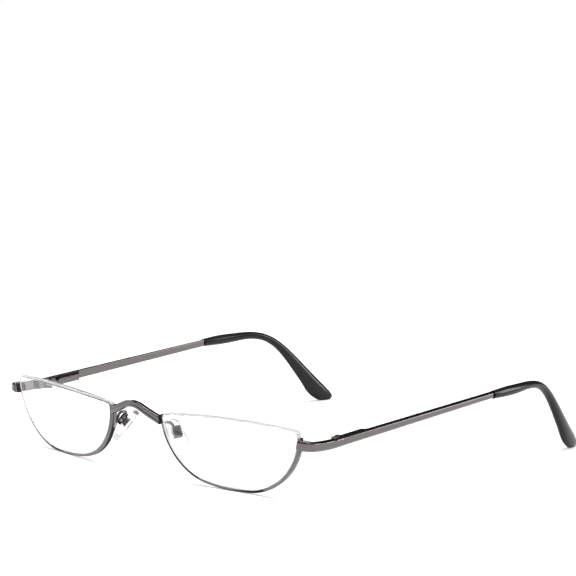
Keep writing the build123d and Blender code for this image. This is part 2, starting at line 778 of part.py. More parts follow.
# Nose pad plane: local z faces the nose, local y runs up the pad
flare, rake, turn = radians(pad_flare), radians(pad_rake), radians(pad_turn)
pad_down = Vector(sin(flare) * cos(rake), -sin(rake), -cos(flare) * cos(rake))
pad_inward = Vector(-cos(flare), 0, -sin(flare))
pad_face = pad_inward * cos(turn) + pad_down.cross(pad_inward) * sin(turn)
pad_plane = Plane(
    origin=(pad_half_spacing, seam_y - pad_setback, pad_height),
    x_dir=(-pad_down).cross(pad_face),
    z_dir=pad_face,
)
pad_back = pad_plane.offset(-pad_thickness / 2)
box_plane = pad_back.offset(-box_pad_gap)
rock_plane = box_plane.offset(-box_depth / 2)
screw_origin = rock_plane.from_local_coords((0, pad_lug_lift, 0))
pad_screw_plane = Plane(origin=screw_origin, x_dir=pad_plane.y_dir, z_dir=pad_plane.x_dir)

# Pad insert: a plate moulded into the pad, with the lug that the screw holds
lug_width = box_width - 2 * box_wall - 2 * lug_side_gap
lug_length = box_length - 2 * box_wall - 2 * lug_gap
with BuildPart() as insert_blank:
    with BuildSketch(pad_back.offset(insert_depth)):
        with Locations((0, pad_lug_lift)):
            Rectangle(lug_width, lug_length)
    extrude(amount=-insert_depth - box_pad_gap - box_depth + lug_end_gap)
    with BuildSketch(pad_back.offset(insert_depth)):
        with Locations((0, pad_lug_lift)):
            Rectangle(lug_width + 2 * insert_margin, lug_length + 2 * insert_margin)
    extrude(amount=insert_thickness)
with BuildPart() as pad_insert:
    add(insert_blank.part)
    with BuildSketch(pad_screw_plane.offset(-box_width)):
        Circle(pad_screw_radius + pad_screw_gap)
    extrude(amount=2 * box_width, mode=Mode.SUBTRACT)
save_pair(pad_insert, "pad_insert")

# Nose pad, moulded round the insert's plate
with BuildPart() as nose_pad:
    with BuildSketch(pad_back):
        with Locations((0, pad_low_radius - pad_length / 2)):
            Circle(pad_low_radius)
        with Locations((0, pad_length / 2 - pad_top_radius)):
            Circle(pad_top_radius)
        make_hull()
    extrude(amount=pad_thickness)
    fillet(nose_pad.edges(), pad_round)
    add(insert_blank.part, mode=Mode.SUBTRACT)
save_pair(nose_pad, "nose_pad")

# Pad box, an open frame round the lug, and the screw across it
with BuildPart() as pad_box:
    with BuildSketch(box_plane):
        with Locations((0, pad_lug_lift)):
            Rectangle(box_width, box_length)
            Rectangle(box_width - 2 * box_wall, box_length - 2 * box_wall, mode=Mode.SUBTRACT)
    extrude(amount=-box_depth)
    with BuildSketch(pad_screw_plane.offset(-box_width)):
        Circle(pad_screw_radius)
    extrude(amount=2 * box_width, mode=Mode.SUBTRACT)
save_pair(pad_box, "pad_box")
with BuildPart() as pad_screw:
    with BuildSketch(pad_screw_plane.offset(-box_width / 2)):
        Circle(pad_screw_radius)
    extrude(amount=box_width)
    with BuildSketch(pad_screw_plane.offset(box_width / 2)):
        Circle(pad_screw_head_radius)
    extrude(amount=pad_screw_head_height)
save_pair(pad_screw, "pad_screw")

# Pad arm: up from the rim's back, over, and down into the box's upper wall
arm_foot = Vector(*radial_point(nasal_centre, lens_nasal_radius + rim_middle, arm_rim_angle, -1))
foot_sag = arm_foot.length**2 / (2 * lens_front_radius)
foot_z = rim_proud - rim_depth - foot_sag + arm_seat_depth
arm_low = lens_plane.from_local_coords((arm_foot.X, arm_foot.Y, foot_z))
arm_front = arm_low + Vector(-arm_inset, -arm_lean, arm_rise)
arm_back = rock_plane.from_local_coords((arm_seat_offset, pad_lug_lift + box_length / 2 + arm_drop, 0))
arm_end = rock_plane.from_local_coords((arm_seat_offset, pad_lug_lift + (box_length - box_wall) / 2, 0))
with BuildPart() as pad_arm:
    with BuildLine() as arm_route:
        FilletPolyline(arm_low, arm_front, arm_back, arm_end, radius=arm_bend_radius)
    with BuildSketch(Plane(origin=arm_route.line @ 0, z_dir=arm_route.line % 0)):
        Circle(arm_radius)
    sweep()
    add(rim.part, mode=Mode.SUBTRACT)
    add(pad_box.part, mode=Mode.SUBTRACT)
    add(pad_arm.solids().sort_by(SortBy.VOLUME)[-1], mode=Mode.REPLACE)
save_pair(pad_arm, "pad_arm")
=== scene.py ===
"""Looks of the half eye reading glasses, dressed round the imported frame.

Every length is in metres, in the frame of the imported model: +X to the
wearer's left, +Y from the front back to the tips, +Z up, the table at z = 0.
"""

import logging
import math
from dataclasses import dataclass
from enum import Enum
from typing import Callable, Iterable, Optional, Sequence

import bpy
from mathutils import Matrix, Vector


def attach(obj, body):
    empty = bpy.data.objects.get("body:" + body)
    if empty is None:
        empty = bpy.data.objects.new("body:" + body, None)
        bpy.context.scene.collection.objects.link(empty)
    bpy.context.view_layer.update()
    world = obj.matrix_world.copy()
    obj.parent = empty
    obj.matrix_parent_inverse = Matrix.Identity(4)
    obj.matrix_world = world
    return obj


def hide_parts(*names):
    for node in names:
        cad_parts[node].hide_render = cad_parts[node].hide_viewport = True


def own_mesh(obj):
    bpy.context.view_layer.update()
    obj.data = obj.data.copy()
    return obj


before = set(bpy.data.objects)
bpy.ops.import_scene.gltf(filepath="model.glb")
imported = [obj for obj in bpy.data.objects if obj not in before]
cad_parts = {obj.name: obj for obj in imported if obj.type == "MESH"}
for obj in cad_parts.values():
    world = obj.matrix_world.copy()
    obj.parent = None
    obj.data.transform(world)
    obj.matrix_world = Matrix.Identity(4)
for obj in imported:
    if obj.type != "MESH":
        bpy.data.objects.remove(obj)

LOG = logging.getLogger("half_eye_glasses")
SIDES: tuple[tuple[str, float], ...] = (("left", 1.0), ("right", -1.0))
Colour = tuple[float, float, float, float]
Place = tuple[float, float, float]
Size = tuple[float, float]
Feed = bpy.types.NodeSocket | float


class Axis(Enum):
    """The way in which a finish's grain runs."""

    EVEN = (1.0, 1.0, 1.0)
    ALONG_TEMPLE = (1.0, 0.06, 1.0)


def deselect_all() -> None:
    """Leave edit mode and deselect every object."""
    if bpy.context.object and bpy.context.object.mode != "OBJECT":
        bpy.ops.object.mode_set(mode="OBJECT")
    bpy.ops.object.select_all(action="DESELECT")


def activate(piece: bpy.types.Object) -> None:
    """Select one object alone and make it the active one.

    Args:
        piece: the object that the next operators act on.
    """
    deselect_all()
    piece.select_set(True)
    bpy.context.view_layer.objects.active = piece


def add_object(name: str, data: bpy.types.ID) -> bpy.types.Object:
    """Make an object round its data and put it in the scene.

    Args:
        name: the object's name.
        data: its mesh, lamp or camera.

    Returns:
        The new object, at the origin.
    """
    new = bpy.data.objects.new(name, data)
    bpy.context.scene.collection.objects.link(new)
    return new


def pick(piece: bpy.types.Object, level: str, test: Callable[[Vector, Vector], bool]) -> None:
    """Select vertices or faces of a piece by place or normal, and enter edit mode.

    Args:
        piece: the object to work on.
        level: VERT or FACE.
        test: says of a centre and a normal whether the element is wanted.
    """
    activate(piece)
    bpy.ops.object.mode_set(mode="EDIT")
    bpy.ops.mesh.select_mode(type=level)
    bpy.ops.mesh.select_all(action="DESELECT")
    bpy.ops.object.mode_set(mode="OBJECT")
    mesh = piece.data
    if level == "FACE":
        for face in mesh.polygons:
            face.select = test(face.center, face.normal)
    else:
        for vertex in mesh.vertices:
            vertex.select = test(vertex.co, vertex.normal)
    bpy.ops.object.mode_set(mode="EDIT")


def apply_modifiers(piece: bpy.types.Object) -> None:
    """Apply every modifier of a piece, in order.

    Args:
        piece: the object whose modifiers are applied.
    """
    activate(piece)
    for modifier in list(piece.modifiers):
        bpy.ops.object.modifier_apply(modifier=modifier.name)


def merged_copy(node: str, name: str, reach: float = 1e-7) -> bpy.types.Object:
    """Copy a carried-over node's mesh and merge its loose triangles.

    Args:
        node: the node's name.
        name: the new piece's name.
        reach: how near two corners are merged, in metres.

    Returns:
        The merged copy, at the node's place.
    """
    piece = add_object(name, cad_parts[node].data.copy())
    activate(piece)
    if piece.data.has_custom_normals:
        bpy.ops.mesh.customdata_custom_splitnormals_clear()
    bpy.ops.object.mode_set(mode="EDIT")
    bpy.ops.mesh.select_all(action="SELECT")
    bpy.ops.mesh.remove_doubles(threshold=reach)
    bpy.ops.object.mode_set(mode="OBJECT")
    return piece


def settle(piece: bpy.types.Object, place: Matrix) -> None:
    """Put a piece in its place and leave its object at the origin, unturned.

    Args:
        piece: the finished object.
        place: the matrix from the piece's own space to the frame.
    """
    piece.matrix_world = place
    activate(piece)
    bpy.ops.object.transform_apply(location=True, rotation=True, scale=True)


def grey(level: float) -> Colour:
    """Give a neutral colour.

    Args:
        level: how light it is, from 0 to 1.

    Returns:
        The colour, opaque.
    """
    return (level, level, level, 1.0)


def add_math(tree: bpy.types.NodeTree, operation: str, *feeds: Feed) -> bpy.types.NodeSocket:
    """Add a math node.

    Args:
        tree: the node tree that gets it.
        operation: what it does with its inputs.
        feeds: the socket or number that goes into each input, in order.

    Returns:
        The socket with its result.
    """
    node = tree.nodes.new("ShaderNodeMath")
    node.operation = operation
    for entry, feed in zip(node.inputs, feeds):
        if isinstance(feed, bpy.types.NodeSocket):
            tree.links.new(feed, entry)
        else:
            entry.default_value = feed
    return node.outputs[0]


class SurfaceKit:
    """The node groups that several finishes share."""

    FINE_DETAIL = 4.0
    BROAD_DETAIL = 2.0
    BROAD_SCALE = 0.09            # of the fine grain's scale
    FINE_SHARE = 0.45             # of the tone; the broad clouds give the rest
    BROAD_SHARE = 0.55
    MIDDLE_TONE = 0.5
    MARK_DETAIL = 5.0
    MARK_ROUGHNESS = 0.62
    MARK_RANGE: Size = (0.46, 0.72)

    def __init__(self) -> None:
        """Build each group once."""
        self.grain = self._grain_group()
        self.handling = self._handling_group()

    @staticmethod
    def _new_group(name: str, inputs: Sequence[tuple[str, str, object]],
                   outputs: Sequence[tuple[str, str]]) -> bpy.types.NodeTree:
        """Make an empty shader group with its sockets.

        Args:
            name: the group's name.
            inputs: name, socket type and default of each input.
            outputs: name and socket type of each output.

        Returns:
            The group, with its input and output nodes.
        """
        group = bpy.data.node_groups.new(name, "ShaderNodeTree")
        for label, kind, value in inputs:
            socket = group.interface.new_socket(label, in_out="INPUT", socket_type=kind)
            socket.default_value = value
        for label, kind in outputs:
            group.interface.new_socket(label, in_out="OUTPUT", socket_type=kind)
        group.nodes.new("NodeGroupInput").name = "in"
        group.nodes.new("NodeGroupOutput").name = "out"
        return group

    def _grain_group(self) -> bpy.types.NodeTree:
        """Build the fine grain of a plated, drawn or moulded surface.

        Returns:
            A group that turns a colour and a roughness into ones that vary
            finely, and gives a height for a bump.
        """
        group = self._new_group(
            "surface_grain",
            (("Color", "NodeSocketColor", grey(0.5)),
             ("Second Color", "NodeSocketColor", grey(0.5)),
             ("Scale", "NodeSocketFloat", 900.0),
             ("Stretch", "NodeSocketVector", (1.0, 1.0, 1.0)),
             ("Roughness", "NodeSocketFloat", 0.3),
             ("Roughness Spread", "NodeSocketFloat", 0.1)),
            (("Color", "NodeSocketColor"), ("Roughness", "NodeSocketFloat"), ("Height", "NodeSocketFloat")))
        nodes, links = group.nodes, group.links
        way_in, way_out = nodes["in"].outputs, nodes["out"].inputs
        place = nodes.new("ShaderNodeTexCoord")
        stretch = nodes.new("ShaderNodeVectorMath")
        stretch.operation = "MULTIPLY"
        links.new(place.outputs["Object"], stretch.inputs[0])
        links.new(way_in["Stretch"], stretch.inputs[1])
        fine = nodes.new("ShaderNodeTexNoise")
        fine.inputs["Detail"].default_value = self.FINE_DETAIL
        links.new(stretch.outputs[0], fine.inputs["Vector"])
        links.new(way_in["Scale"], fine.inputs["Scale"])
        broad = nodes.new("ShaderNodeTexNoise")
        broad.inputs["Detail"].default_value = self.BROAD_DETAIL
        links.new(place.outputs["Object"], broad.inputs["Vector"])
        links.new(add_math(group, "MULTIPLY", way_in["Scale"], self.BROAD_SCALE), broad.inputs["Scale"])
        clouds = add_math(group, "MULTIPLY", broad.outputs["Fac"], self.BROAD_SHARE)
        tone = add_math(group, "MULTIPLY_ADD", fine.outputs["Fac"], self.FINE_SHARE, clouds)
        colour = nodes.new("ShaderNodeMix")
        colour.data_type = "RGBA"
        links.new(tone, colour.inputs["Factor"])
        links.new(way_in["Color"], colour.inputs["A"])
        links.new(way_in["Second Color"], colour.inputs["B"])
        swing = add_math(group, "SUBTRACT", tone, self.MIDDLE_TONE)
        rough = add_math(group, "MULTIPLY_ADD", swing, way_in["Roughness Spread"], way_in["Roughness"])
        links.new(colour.outputs["Result"], way_out["Color"])
        links.new(rough, way_out["Roughness"])
        links.new(fine.outputs["Fac"], way_out["Height"])
        return group

    def _handling_group(self) -> bpy.types.NodeTree:
        """Build the faint cloudy marks of handling and wiping.

        Returns:
            A group that adds soft cloudy patches to a roughness.
        """
        group = self._new_group(
            "handling_marks",
            (("Roughness", "NodeSocketFloat", 0.2),
             ("Amount", "NodeSocketFloat", 0.1),
             ("Scale", "NodeSocketFloat", 60.0)),
            (("Roughness", "NodeSocketFloat"),))
        nodes, links = group.nodes, group.links
        way_in = nodes["in"].outputs
        place = nodes.new("ShaderNodeTexCoord")
        cloud = nodes.new("ShaderNodeTexNoise")
        cloud.inputs["Detail"].default_value = self.MARK_DETAIL
        cloud.inputs["Roughness"].default_value = self.MARK_ROUGHNESS
        links.new(place.outputs["Object"], cloud.inputs["Vector"])
        links.new(way_in["Scale"], cloud.inputs["Scale"])
        patch = nodes.new("ShaderNodeMapRange")
        patch.inputs["From Min"].default_value, patch.inputs["From Max"].default_value = self.MARK_RANGE
        links.new(cloud.outputs["Fac"], patch.inputs["Value"])
        rough = add_math(group, "MULTIPLY_ADD", patch.outputs[0], way_in["Amount"], way_in["Roughness"])
        links.new(rough, nodes["out"].inputs["Roughness"])
        return group


@dataclass(frozen=True)
class Finish:
    """One surface finish, opaque or clear.

    The colour pair is the range in which the fine grain moves the colour.
    """

    name: str
    colour: Colour
    second: Colour
    roughness: float
    spread: float = 0.08
    metallic: float = 0.0
    grain_scale: float = 900.0
    grain_axis: Axis = Axis.EVEN
    bump: float = 0.08
    bump_depth: float = 0.00002
    marks: float = 0.06
    mark_scale: float = 70.0
    transmission: float = 0.0
    ior: float = 1.5
    coat: float = 0.0
    coat_roughness: float = 0.05
    lets_lamps_through: bool = False

    def build(self, kit: SurfaceKit) -> bpy.types.Material:
        """Make the material.

        Args:
            kit: the shared node groups.

        Returns:
            The material, ready for a slot.
        """
        material = bpy.data.materials.new(self.name)
        material.use_nodes = True
        nodes, links = material.node_tree.nodes, material.node_tree.links
        shader = nodes["Principled BSDF"]
        shader.inputs["Metallic"].default_value = self.metallic
        shader.inputs["Transmission Weight"].default_value = self.transmission
        shader.inputs["IOR"].default_value = self.ior
        shader.inputs["Coat Weight"].default_value = self.coat
        shader.inputs["Coat Roughness"].default_value = self.coat_roughness
        grain = nodes.new("ShaderNodeGroup")
        grain.node_tree = kit.grain
        grain.inputs["Color"].default_value = self.colour
        grain.inputs["Second Color"].default_value = self.second
        grain.inputs["Scale"].default_value = self.grain_scale
        grain.inputs["Stretch"].default_value = self.grain_axis.value
        grain.inputs["Roughness"].default_value = self.roughness
        grain.inputs["Roughness Spread"].default_value = self.spread
        handling = nodes.new("ShaderNodeGroup")
        handling.node_tree = kit.handling
        handling.inputs["Amount"].default_value = self.marks
        handling.inputs["Scale"].default_value = self.mark_scale
        bump = nodes.new("ShaderNodeBump")
        bump.inputs["Strength"].default_value = self.bump
        bump.inputs["Distance"].default_value = self.bump_depth
        links.new(grain.outputs["Color"], shader.inputs["Base Color"])
        links.new(grain.outputs["Roughness"], handling.inputs["Roughness"])
        links.new(handling.outputs["Roughness"], shader.inputs["Roughness"])
        links.new(grain.outputs["Height"], bump.inputs["Height"])
        links.new(bump.outputs["Normal"], shader.inputs["Normal"])
        if self.lets_lamps_through:
            self._pass_lamps(material)
        return material

    def _pass_lamps(self, material: bpy.types.Material) -> None:
        """Let a lamp's light through clear material, so that it casts hardly any shadow.

        Args:
            material: the material to change.
        """
        nodes, links = material.node_tree.nodes, material.node_tree.links
        path = nodes.new("ShaderNodeLightPath")
        clear = nodes.new("ShaderNodeBsdfTransparent")
        clear.inputs["Color"].default_value = self.second
        either = nodes.new("ShaderNodeMixShader")
        links.new(path.outputs["Is Shadow Ray"], either.inputs["Fac"])
        links.new(nodes["Principled BSDF"].outputs["BSDF"], either.inputs[1])
        links.new(clear.outputs["BSDF"], either.inputs[2])
        links.new(either.outputs["Shader"], nodes["Material Output"].inputs["Surface"])


GUNMETAL = Finish(
    "gunmetal_plating", (0.152, 0.14, 0.14, 1.0), (0.188, 0.173, 0.172, 1.0), 0.085, spread=0.05,
    metallic=1.0, grain_scale=1400.0, grain_axis=Axis.ALONG_TEMPLE, bump=0.05, marks=0.03)
# Dark plated steel of the pad insert. It is made near black so that it also stands in for the painted shade
# inside the pad box.
DARK_STEEL_AND_PAINTED_SHADE = Finish(
    "dark_steel_and_painted_shade", (0.02, 0.019, 0.019, 1.0), (0.045, 0.042, 0.041, 1.0), 0.3,
    metallic=1.0, grain_scale=2500.0)
BRIGHT_STEEL = Finish(
    "bright_steel", (0.46, 0.45, 0.45, 1.0), (0.58, 0.57, 0.565, 1.0), 0.24,
    metallic=1.0, grain_scale=2500.0)
GROUND_EDGE = Finish(
    "ground_edge", grey(0.81), grey(0.87), 0.6, spread=0.1,
    grain_scale=2600.0, bump=0.1, transmission=0.75, ior=1.3, lets_lamps_through=True)
LENS_GLASS = Finish(
    "lens_glass", (0.994, 0.992, 0.99, 1.0), (0.997, 0.996, 0.994, 1.0), 0.0, spread=0.0,
    bump=0.0, marks=0.012, mark_scale=45.0, transmission=1.0, ior=1.5, lets_lamps_through=True)
CLEAR_NYLON = Finish(
    "clear_nylon", (0.9, 0.895, 0.89, 1.0), (0.94, 0.935, 0.93, 1.0), 0.4,
    grain_scale=1200.0, transmission=0.7, ior=1.38, lets_lamps_through=True)
CLEAR_PAD = Finish(
    "clear_pad", (0.885, 0.87, 0.905, 1.0), (0.92, 0.905, 0.935, 1.0), 0.14,
    grain_scale=600.0, marks=0.06, transmission=0.9, ior=1.4, lets_lamps_through=True)
BLACK_TIP = Finish(
    "black_tip", (0.012, 0.01, 0.012, 1.0), (0.02, 0.017, 0.02, 1.0), 0.16,
    grain_scale=700.0, grain_axis=Axis.ALONG_TEMPLE, marks=0.05, ior=1.31, coat=0.04)


class Wardrobe:
    """Builds each finish once and dresses pieces in it."""

    def __init__(self) -> None:
        """Start with no material built."""
        self.kit = SurfaceKit()
        self.made: dict[str, bpy.types.Material] = {}

    def material(self, finish: Finish) -> bpy.types.Material:
        """Give a finish's material, built at its first use.

        Args:
            finish: the finish wanted.

        Returns:
            Its material.
        """
        if finish.name not in self.made:
            self.made[finish.name] = finish.build(self.kit)
        return self.made[finish.name]

    def dress(self, piece: bpy.types.Object, *finishes: Finish) -> None:
        """Give a piece its finishes, one to each material slot.

        Args:
            piece: the piece, whose old slots go.
            finishes: the finishes that it takes, in order.
        """
        piece.data.materials.clear()
        for finish in finishes:
            piece.data.materials.append(self.material(finish))

    def dress_node(self, node: str, finish: Finish) -> None:
        """Give a carried-over node its finish.

        Args:
            node: the node's name.
            finish: the finish that it takes.
        """
        self.dress(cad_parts[node], finish)
        LOG.info("%s dressed in %s", node, finish.name)

    def dress_pairs(self, names: Iterable[str], finish: Finish) -> None:
        """Give the left and right copies of nodes one finish.

        Args:
            names: the names without their side.
            finish: the finish that they take.
        """
        for name in names:
            for side, _ in SIDES:
                self.dress_node(f"{name}_{side}", finish)


@dataclass(frozen=True)
class Front:
    """The metal front, with its pad boxes and the nylon that holds the lenses."""

    wardrobe: Wardrobe

    def build(self) -> None:
        """Dress every piece of the front."""
        self.wardrobe.dress_node("bridge", GUNMETAL)
        self.wardrobe.dress_pairs(("rim", "endpiece", "hinge_leaf", "pad_box", "pad_arm"), GUNMETAL)
        # The insert's near-black finish is partly its dark plating and partly painted shade inside the pad box.
        self.wardrobe.dress_pairs(("pad_insert",), DARK_STEEL_AND_PAINTED_SHADE)
        self.wardrobe.dress_pairs(("lens_cord", "rim_liner"), CLEAR_NYLON)
        self.wardrobe.dress_pairs(("pad_screw",), BRIGHT_STEEL)


@dataclass(frozen=True)
class Lenses:
    """The two polished lenses with their ground and bevelled edges."""

    wardrobe: Wardrobe
    safety_bevel: float = 0.00025
    sharp_angle: float = 55.0
    smooth_angle: float = 28.0
    edge_turn: float = 0.75        # a face whose normal has less of Y than this is edge

    def build(self) -> None:
        """Refine a copy of each lens and let it stand for the plain solid."""
        for side, _ in SIDES:
            lens = merged_copy(f"lens_{side}", f"clear_lens_{side}")
            self._bevel(lens)
            self._split_finish(lens)
            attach(lens, "front")
            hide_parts(f"lens_{side}")
            LOG.info("%s refined", lens.name)

    def _bevel(self, lens: bpy.types.Object) -> None:
        """Grind the small safety bevel along the sharp edges.

        Args:
            lens: the merged lens.
        """
        ground = lens.modifiers.new("safety_bevel", "BEVEL")
        ground.width = self.safety_bevel
        ground.segments = 1
        ground.limit_method = "ANGLE"
        ground.angle_limit = math.radians(self.sharp_angle)
        ground.use_clamp_overlap = True
        apply_modifiers(lens)
        bpy.ops.object.shade_smooth_by_angle(angle=math.radians(self.smooth_angle))

    def _split_finish(self, lens: bpy.types.Object) -> None:
        """Polish the two optical faces and leave the edge ground.

        Args:
            lens: the bevelled lens.
        """
        self.wardrobe.dress(lens, LENS_GLASS, GROUND_EDGE)
        pick(lens, "FACE", lambda _, normal: abs(normal.y) < self.edge_turn)
        lens.active_material_index = 1
        bpy.ops.object.material_slot_assign()
        bpy.ops.object.mode_set(mode="OBJECT")


@dataclass(frozen=True)
class Temples:
    """The two temples with their sprung hinges.

    The spring's foot and way, which are not used, are the left one's: where the coil
    bears on the bush, and the line along which the slider draws it together.
    """

    wardrobe: Wardrobe
    spring_foot: Vector = Vector((0.0627297, -0.0473777, 0.017775))
    spring_way: Vector = Vector((-0.013903, 0.995692, 0.091675))
    squeezed: float = 0.877
    smooth_angle: float = 50.0

    def build(self) -> None:
        """Dress every piece of the temples and hinges."""
        self.wardrobe.dress_pairs(("temple_bar", "spring_housing"), GUNMETAL)
        self.wardrobe.dress_pairs(("temple_tip",), BLACK_TIP)
        self.wardrobe.dress_pairs(("hinge_screw", "hinge_slider", "slider_stop", "slider_bush"), BRIGHT_STEEL)
        self._springs()

    def _springs(self) -> None:
        """Refine a copy of each coil, dress it and hang it on its temple."""
        for side, sign in SIDES:
            coil = merged_copy(f"hinge_spring_{side}", f"coil_{side}")
            bpy.ops.object.shade_smooth_by_angle(angle=math.radians(self.smooth_angle))
            self.wardrobe.dress(coil, BRIGHT_STEEL)
            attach(coil, f"temple_{side}")
            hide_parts(f"hinge_spring_{side}")
            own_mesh(coil)
            LOG.info("coil_%s refined", side)


@dataclass(frozen=True)
class NosePads:
    """The two soft pads, each moulded round the plate of its insert.

    The origin and the two ways place the left pad: its middle, the way across
    it and the way its face looks.
    """

    wardrobe: Wardrobe
    origin: Vector = Vector((0.0118, -0.0656781, 0.0128))
    x_way: Vector = Vector((-0.47744, -0.86545, -0.1518))
    z_way: Vector = Vector((-0.6559, 0.466, -0.59383))
    length: float = 0.0118
    low_radius: float = 0.0034
    top_radius: float = 0.0022
    thickness: float = 0.002
    edge: float = 0.0007
    rim_share: float = 0.75          # of the edge, for the first inset
    roll_share: float = 0.55         # of the edge, for the roll's width
    rim_lift: float = 0.00006
    face_dish: float = 0.0002
    back_swell: float = 0.00005
    corners: int = 40
    roll_steps: int = 2
    smooth_levels: int = 2
    smooth_angle: float = 40.0
    flat_face: float = 0.9           # a face whose normal has more of Z than this is front or back
    hair: float = 1e-6               # a hair's breadth past the low end's middle
    insert_grip: float = 0.99

    def build(self) -> None:
        """Model the left pad, place it and its mirror, and dress both."""
        pad = self._blank()
        y_way = self.z_way.cross(self.x_way)
        turn = Matrix((self.x_way, y_way, self.z_way)).transposed().to_4x4()
        settle(pad, Matrix.Translation(self.origin) @ turn)
        self._seat_insert(pad)
        for piece, (side, _) in zip((pad, self._mirrored(pad)), SIDES):
            piece.name = f"soft_pad_{side}"
            activate(piece)
            bpy.ops.object.shade_smooth_by_angle(angle=math.radians(self.smooth_angle))
            self.wardrobe.dress(piece, CLEAR_PAD)
            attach(piece, f"nose_pad_{side}")
            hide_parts(f"nose_pad_{side}")
            LOG.info("soft_pad_%s modelled", side)

    def _blank(self) -> bpy.types.Object:
        """Shape the egg-shaped pad with its rolled edge and dished face.

        Returns:
            The pad in its own space, its face towards +Z.
        """
        deselect_all()
        low_end = (0.0, self.low_radius - self.length / 2, -self.thickness / 2)
        bpy.ops.mesh.primitive_circle_add(
            vertices=self.corners, radius=self.low_radius, fill_type="NGON", location=low_end)
        pad = bpy.context.object
        bpy.ops.object.transform_apply(location=True, rotation=False, scale=False)
        rise = self.length - self.low_radius - self.top_radius
        share = self.top_radius / self.low_radius
        pick(pad, "VERT", lambda place, _: place.y > low_end[1] + self.hair)
        bpy.ops.transform.resize(value=(share, share, 1.0), center_override=low_end)
        bpy.ops.transform.translate(value=(0.0, rise, 0.0))
        bpy.ops.mesh.select_all(action="SELECT")
        bpy.ops.mesh.extrude_region_move(TRANSFORM_OT_translate={"value": (0.0, 0.0, self.thickness)})
        bpy.ops.mesh.select_all(action="SELECT")
        bpy.ops.mesh.normals_make_consistent(inside=False)
        for up, move in ((1.0, -self.face_dish), (-1.0, -self.back_swell)):
            pick(pad, "FACE", lambda _, normal, up=up: normal.z * up > self.flat_face)
            bpy.ops.mesh.inset(thickness=self.edge * self.rim_share)
            bpy.ops.transform.translate(value=(0.0, 0.0, self.rim_lift * up))
            bpy.ops.mesh.inset(thickness=self.edge)
            bpy.ops.transform.translate(value=(0.0, 0.0, move))
            bpy.ops.mesh.inset(thickness=self.edge)
        bpy.ops.object.mode_set(mode="OBJECT")
        roll = pad.modifiers.new("rolled_edge", "BEVEL")
        roll.width = self.edge * self.roll_share
        roll.segments = self.roll_steps
        roll.limit_method = "ANGLE"
        smooth = pad.modifiers.new("moulded", "SUBSURF")
        smooth.levels = smooth.render_levels = self.smooth_levels
        apply_modifiers(pad)
        return pad

    def _seat_insert(self, pad: bpy.types.Object) -> None:
        """Hollow the pad where it is moulded round its insert.

        Args:
            pad: the placed left pad, which grips the insert a little.
        """
        core = merged_copy("pad_insert_left", "insert_core")
        corners = [Vector(corner) for corner in core.bound_box]
        middle = sum(corners, Vector()) / len(corners)
        grip = Matrix.Translation(middle) @ Matrix.Scale(self.insert_grip, 4) @ Matrix.Translation(-middle)
        settle(core, grip)
        cut = pad.modifiers.new("insert_seat", "BOOLEAN")
        cut.operation = "DIFFERENCE"
        cut.solver = "EXACT"
        cut.object = core
        apply_modifiers(pad)
        bpy.data.objects.remove(core)

    @staticmethod
    def _mirrored(pad: bpy.types.Object) -> bpy.types.Object:
        """Copy the finished left pad to the right side.

        Args:
            pad: the left pad, in its place.

        Returns:
            The right pad, its faces pointing outwards.
        """
        other = pad.copy()
        other.data = pad.data.copy()
        bpy.context.scene.collection.objects.link(other)
        settle(other, Matrix.Scale(-1.0, 4, Vector((1.0, 0.0, 0.0))))
        bpy.ops.object.mode_set(mode="EDIT")
        bpy.ops.mesh.select_all(action="SELECT")
        bpy.ops.mesh.normals_make_consistent(inside=False)
        bpy.ops.object.mode_set(mode="OBJECT")
        return other


